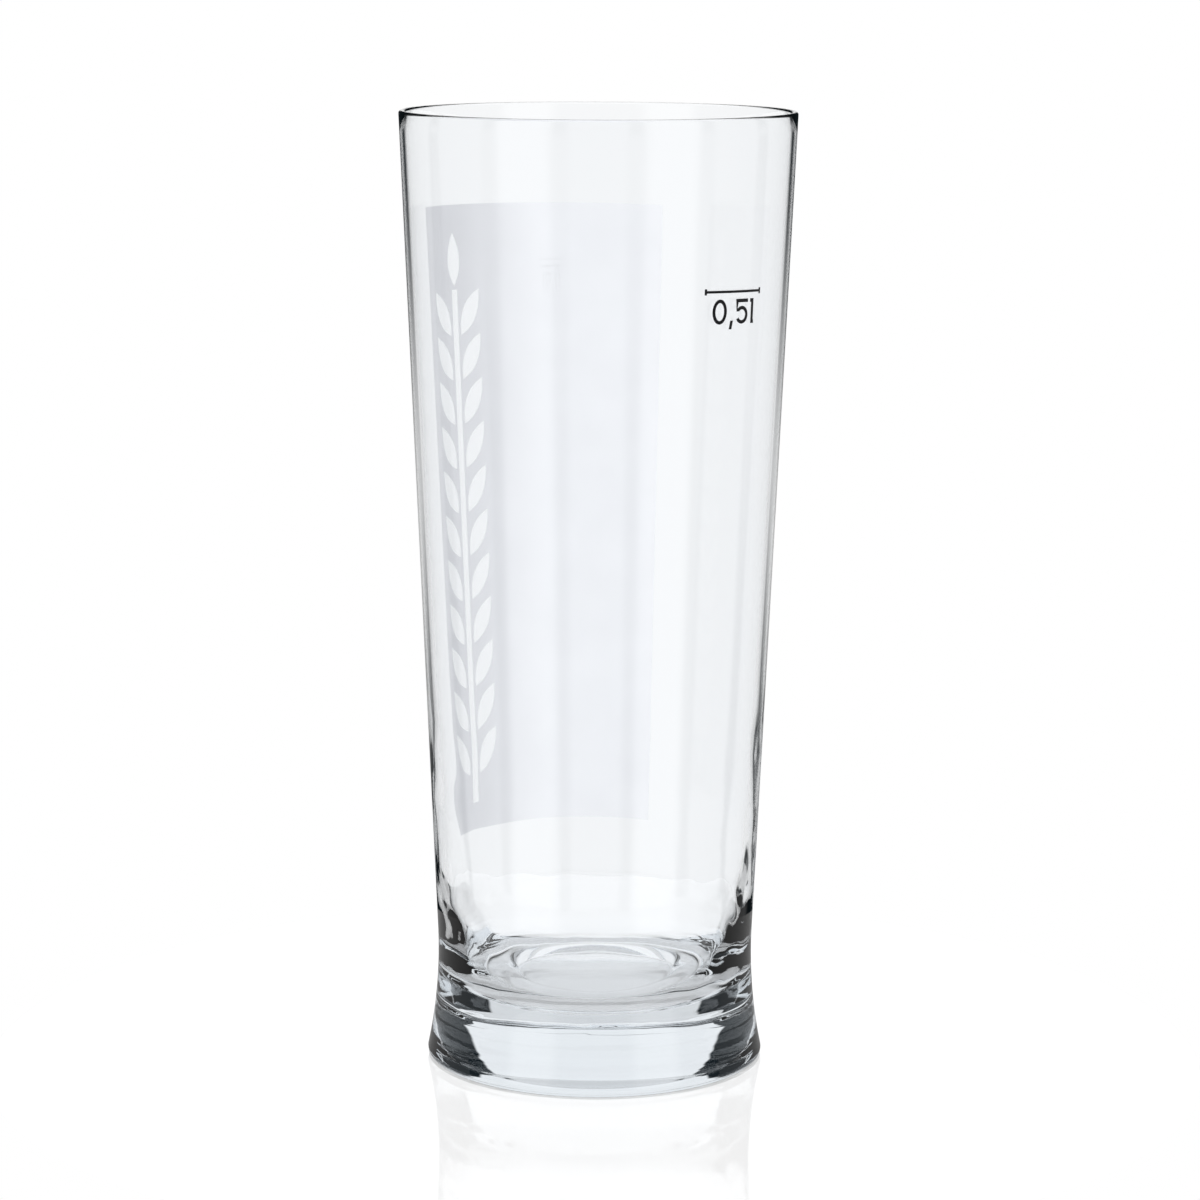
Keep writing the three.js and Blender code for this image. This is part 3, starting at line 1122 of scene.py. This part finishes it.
    def outer_image(self, strip: bpy.types.Node) -> bpy.types.Node:
        """Adds what the outside of the glass mirrors.

        Args:
            strip: The pale strip, of which the part behind shows.

        Returns:
            The node of its brightness.
        """
        tree = self.tree
        light_low = HALF_TURN - self.light_outer
        light_high = HALF_TURN - self.light_inner
        wing_place = self.band(self.side, self.wing_inner, self.wing_outer, self.light_edge)
        between = self.band(self.side, -FULL_TURN, self.wing_inner, self.soft_edge)
        back = self.band(self.side, -FULL_TURN, self.back_half_width, self.soft_edge)
        wings = add_node(tree, "ShaderNodeMath", {0: wing_place, 1: self.wing_level}, operation="MULTIPLY")
        back_strip = add_node(tree, "ShaderNodeMath", {0: between, 1: strip}, operation="MULTIPLY")
        above = add_node(tree, "ShaderNodeMath", {0: self.rise, 1: self.ceiling}, operation="GREATER_THAN")
        image = self.band(self.side, light_low, light_high, self.light_edge)
        for part in (wings, back, back_strip, above):
            image = add_node(tree, "ShaderNodeMath", {0: image, 1: part}, operation="MAXIMUM")
        return image

    def seen_by_glass(self) -> bpy.types.Node:
        """Puts together what the glass shows: an outer image, what its thick parts bend, and white past them.

        Returns:
            The node of the brightness in a ray's direction.
        """
        tree = self.tree
        bounces = self.path["Glossy Depth"]
        depth = self.path["Transmission Depth"]
        mirrored = add_node(tree, "ShaderNodeMath", {0: bounces, 1: NONE_OR_ONE}, operation="GREATER_THAN")
        entered = add_node(tree, "ShaderNodeMath", {0: depth, 1: NONE_OR_ONE}, operation="GREATER_THAN")
        crossed = add_node(tree, "ShaderNodeMath", {0: depth, 1: TWO_OR_THREE}, operation="GREATER_THAN")
        downwards = add_node(tree, "ShaderNodeMath", {0: self.rise, 1: 0.0}, operation="LESS_THAN")
        at_edge = add_node(tree, "ShaderNodeMath", {0: mirrored, 1: downwards}, operation="MULTIPLY")
        strip = self.strip()
        panels = self.panels(strip)
        field = self.carded_field(mirrored)
        image = self.outer_image(strip)
        solid = add_node(tree, "ShaderNodeMix", {"Factor": at_edge, VALUE_A: field, VALUE_B: panels})
        near = add_node(tree, "ShaderNodeMix", {"Factor": entered, VALUE_A: image, VALUE_B: solid})
        return add_node(tree, "ShaderNodeMix", {"Factor": crossed, VALUE_A: near, VALUE_B: 1.0})

    def build(self) -> None:
        """Lights the scene from all round, a little more from behind, and shows the room to the glass."""
        tree = self.tree
        path = self.path
        behind = add_node(tree, "ShaderNodeMath", {0: self.backwards, 1: 0.0}, operation="MAXIMUM")
        levels = {0: behind, 1: self.level_from_behind, 2: self.level}
        plain = add_node(tree, "ShaderNodeMath", levels, operation="MULTIPLY_ADD")
        kinds = {0: path["Is Glossy Ray"], 1: path["Is Transmission Ray"]}
        bent = add_node(tree, "ShaderNodeMath", kinds, operation="MAXIMUM")
        scattered = path["Diffuse Depth"]
        direct = add_node(tree, "ShaderNodeMath", {0: scattered, 1: NONE_OR_ONE}, operation="LESS_THAN")
        clear = add_node(tree, "ShaderNodeMath", {0: bent, 1: direct}, operation="MULTIPLY")
        sharp = add_node(tree, "ShaderNodeMath", {0: clear, 1: path["Is Singular Ray"]}, operation="MULTIPLY")
        cards = add_node(
            tree,
            "ShaderNodeMix",
            {"Factor": self.seen_by_glass(), COLOUR_A: linear(self.dark), COLOUR_B: WHITE},
            data_type="RGBA",
        )
        light = add_node(
            tree,
            "ShaderNodeMix",
            {"Factor": sharp, COLOUR_A: plain, COLOUR_B: cards.outputs[COLOUR_OUT]},
            data_type="RGBA",
        )
        shown = add_node(
            tree,
            "ShaderNodeMix",
            {"Factor": path["Is Camera Ray"], COLOUR_A: light.outputs[COLOUR_OUT], COLOUR_B: WHITE},
            data_type="RGBA",
        )
        background = add_node(tree, "ShaderNodeBackground", {"Color": shown.outputs[COLOUR_OUT]})
        add_node(tree, "ShaderNodeOutputWorld", {"Surface": background})
        bpy.context.scene.world = self.world
        LOG.info("%s is lit", self.world.name)


def show_plain_colours() -> None:
    """Shows colours as they are written, and keeps mirror images sharp after a soft bounce too."""
    bpy.context.scene.view_settings.view_transform = "Standard"
    bpy.context.scene.cycles.blur_glossy = 0.0


def main() -> None:
    """Builds the studio, the glass and its prints in order."""
    logging.basicConfig(level=logging.INFO, format="%(name)s: %(message)s")
    glass = GlassBody.from_frame()
    PhotoCamera().build()
    WhiteTable(glass.foot_radius * MM).build()
    WhiteRoom().build()
    show_plain_colours()
    glass.build()
    BarleyPanel(glass).build()
    FillMark(glass).build()


if __name__ == "__main__":
    main()
